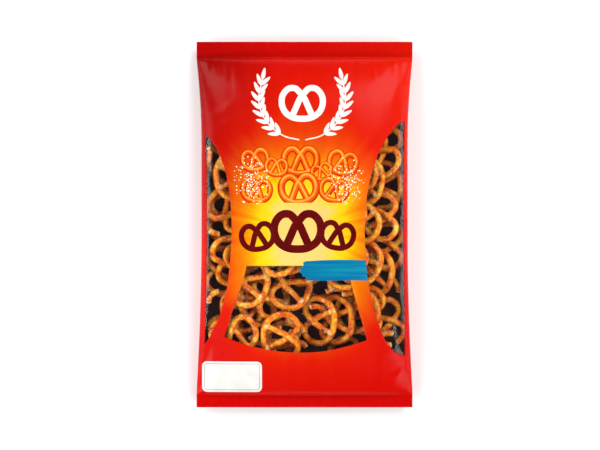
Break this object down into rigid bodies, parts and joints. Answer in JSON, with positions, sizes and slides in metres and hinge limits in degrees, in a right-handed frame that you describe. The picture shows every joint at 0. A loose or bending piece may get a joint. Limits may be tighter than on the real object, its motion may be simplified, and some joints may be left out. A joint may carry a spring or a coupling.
{
  "type": "bag of salted mini pretzels",
  "caption": "Sealed pillow bag of printed film with clear windows, filled with small crunchy salted pretzels; it lies on its back.",
  "frame": {"origin": "on the surface that the bag lies on, under the middle of its outline", "axes": "+X across the bag, +Y along it towards its top edge, +Z out of its printed front"},
  "size_m": [0.187, 0.315, 0.0402],
  "materials": {
    "printed_film": "glossy printed polypropylene film",
    "clear_film": "glossy unprinted polypropylene film",
    "pretzel_crust": "baked, lye-glazed crust with a soft shine",
    "salt": "coarse salt grains"
  },
  "bodies": {
    "root": {"bag_film": "printed_film", "pretzel_01": "pretzel_crust", "pretzel_02": "pretzel_crust", "pretzel_03": "pretzel_crust", "pretzel_04": "pretzel_crust", "pretzel_05": "pretzel_crust", "pretzel_06": "pretzel_crust", "pretzel_07": "pretzel_crust", "pretzel_08": "pretzel_crust", "pretzel_09": "pretzel_crust", "pretzel_10": "pretzel_crust", "pretzel_11": "pretzel_crust", "pretzel_12": "pretzel_crust", "pretzel_13": "pretzel_crust", "pretzel_14": "pretzel_crust", "pretzel_15": "pretzel_crust", "pretzel_16": "pretzel_crust", "pretzel_17": "pretzel_crust", "pretzel_18": "pretzel_crust", "pretzel_19": "pretzel_crust", "pretzel_20": "pretzel_crust", "pretzel_21": "pretzel_crust", "pretzel_22": "pretzel_crust", "pretzel_23": "pretzel_crust", "pretzel_24": "pretzel_crust", "pretzel_25": "pretzel_crust", "pretzel_26": "pretzel_crust", "pretzel_27": "pretzel_crust", "pretzel_28": "pretzel_crust", "pretzel_29": "pretzel_crust", "pretzel_30": "pretzel_crust", "pretzel_31": "pretzel_crust", "pretzel_32": "pretzel_crust", "pretzel_33": "pretzel_crust", "pretzel_34": "pretzel_crust", "pretzel_35": "pretzel_crust", "pretzel_36": "pretzel_crust", "pretzel_37": "pretzel_crust", "pretzel_38": "pretzel_crust", "pretzel_39": "pretzel_crust", "pretzel_40": "pretzel_crust", "pretzel_41": "pretzel_crust", "pretzel_42": "pretzel_crust", "pretzel_43": "pretzel_crust", "pretzel_44": "pretzel_crust", "pretzel_45": "pretzel_crust", "pretzel_46": "pretzel_crust", "pretzel_47": "pretzel_crust", "pretzel_48": "pretzel_crust", "pretzel_49": "pretzel_crust", "pretzel_50": "pretzel_crust", "pretzel_51": "pretzel_crust", "pretzel_52": "pretzel_crust", "pretzel_53": "pretzel_crust", "pretzel_54": "pretzel_crust", "pretzel_55": "pretzel_crust", "pretzel_56": "pretzel_crust", "pretzel_57": "pretzel_crust", "pretzel_58": "pretzel_crust", "pretzel_59": "pretzel_crust"}
  },
  "joints": []
}
